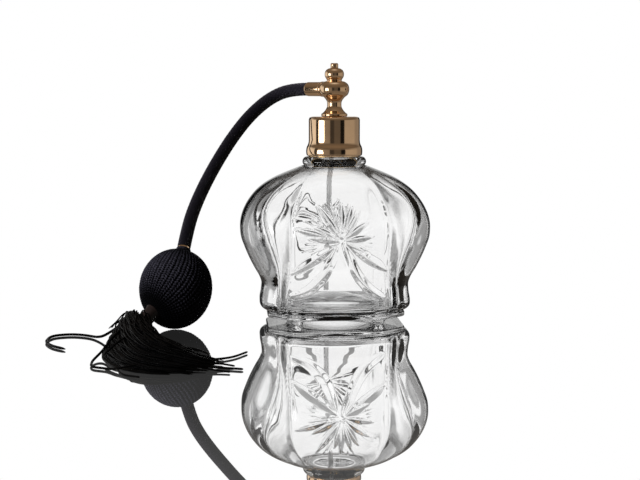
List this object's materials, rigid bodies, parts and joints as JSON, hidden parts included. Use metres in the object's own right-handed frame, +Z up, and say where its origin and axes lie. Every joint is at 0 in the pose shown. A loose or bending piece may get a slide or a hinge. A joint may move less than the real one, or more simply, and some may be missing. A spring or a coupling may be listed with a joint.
{
  "type": "perfume bottle",
  "caption": "Cut-glass perfume bottle with a gilt screw cap and spray head, a braided hose, a knitted squeeze bulb and a tassel.",
  "frame": {"origin": "the point on the table under the bottle's axis", "axes": "+Z up along the bottle's axis; the front panel faces -Y; the bulb lies at -X"},
  "size_m": [0.1801, 0.1681, 0.1248],
  "materials": {
    "crystal": "polished, with cut stars",
    "gilt": "polished gilt",
    "brass": "turned",
    "steel": "polished",
    "clear_plastic": "clear extruded plastic",
    "black_rubber": "matte",
    "collar_rubber": "smooth",
    "black_braid": "braided",
    "black_knit": "knitted",
    "black_silk": "satin threads"
  },
  "bodies": {
    "bottle": {"bottle_glass": "crystal", "neck_collar": "brass"},
    "atomizer": {"head_body": "gilt", "finial_plug": "gilt", "nozzle_insert": "gilt", "jet_tube": "brass", "ferrule_ring": "gilt", "hose_ferrule": "gilt", "air_nipple": "brass", "shank_nut": "brass", "neck_gasket": "black_rubber", "dip_tube_holder": "brass", "dip_tube": "clear_plastic", "hose_braid": "black_braid", "hose_lining": "black_rubber", "knitted_cover": "black_knit", "rubber_bulb": "black_rubber", "bulb_connector": "brass", "bulb_ring": "gilt", "outlet_stop": "brass"},
    "cap": {"screw_cap": "gilt"},
    "outlet_valve": {"outlet_ball": "steel"},
    "bulb_tail": {"tail_collar": "collar_rubber", "intake_valve_body": "brass", "intake_stop": "brass"},
    "intake_valve": {"intake_ball": "steel"},
    "tassel": {"tassel_knot": "black_silk", "tassel_skirt": "black_silk", "tassel_strand_1": "black_silk", "tassel_strand_2": "black_silk", "tassel_strand_3": "black_silk"}
  },
  "joints": [
    {"name": "atomizer_lift", "type": "slide", "parent": "bottle", "child": "atomizer", "axis": [0, 0, 1], "range_m": [0, 0.085]},
    {"name": "cap_turn", "type": "hinge", "parent": "atomizer", "child": "cap", "pos_m": [0, 0, 0.09], "axis": [0, 0, 1], "range_deg": [0, 540]},
    {"name": "outlet_lift", "type": "slide", "parent": "atomizer", "child": "outlet_valve", "axis": [0.181, 0.474, 0.8617], "range_m": [0, 0.0008]},
    {"name": "bulb_squeeze", "type": "slide", "parent": "atomizer", "child": "bulb_tail", "axis": [0.5864, 0.6119, 0.5308], "range_m": [0, 0.01], "stiffness_N_per_m": 150, "deforming": ["knitted_cover", "rubber_bulb"]},
    {"name": "intake_lift", "type": "slide", "parent": "bulb_tail", "child": "intake_valve", "axis": [0.5864, 0.6119, 0.5308], "range_m": [0, 0.0008]},
    {"name": "tassel_swing", "type": "hinge", "parent": "bulb_tail", "child": "tassel", "pos_m": [-0.0941, -0.04418, 0.00391], "axis": [0, 0, 1], "range_deg": [-25, 6]}
  ]
}
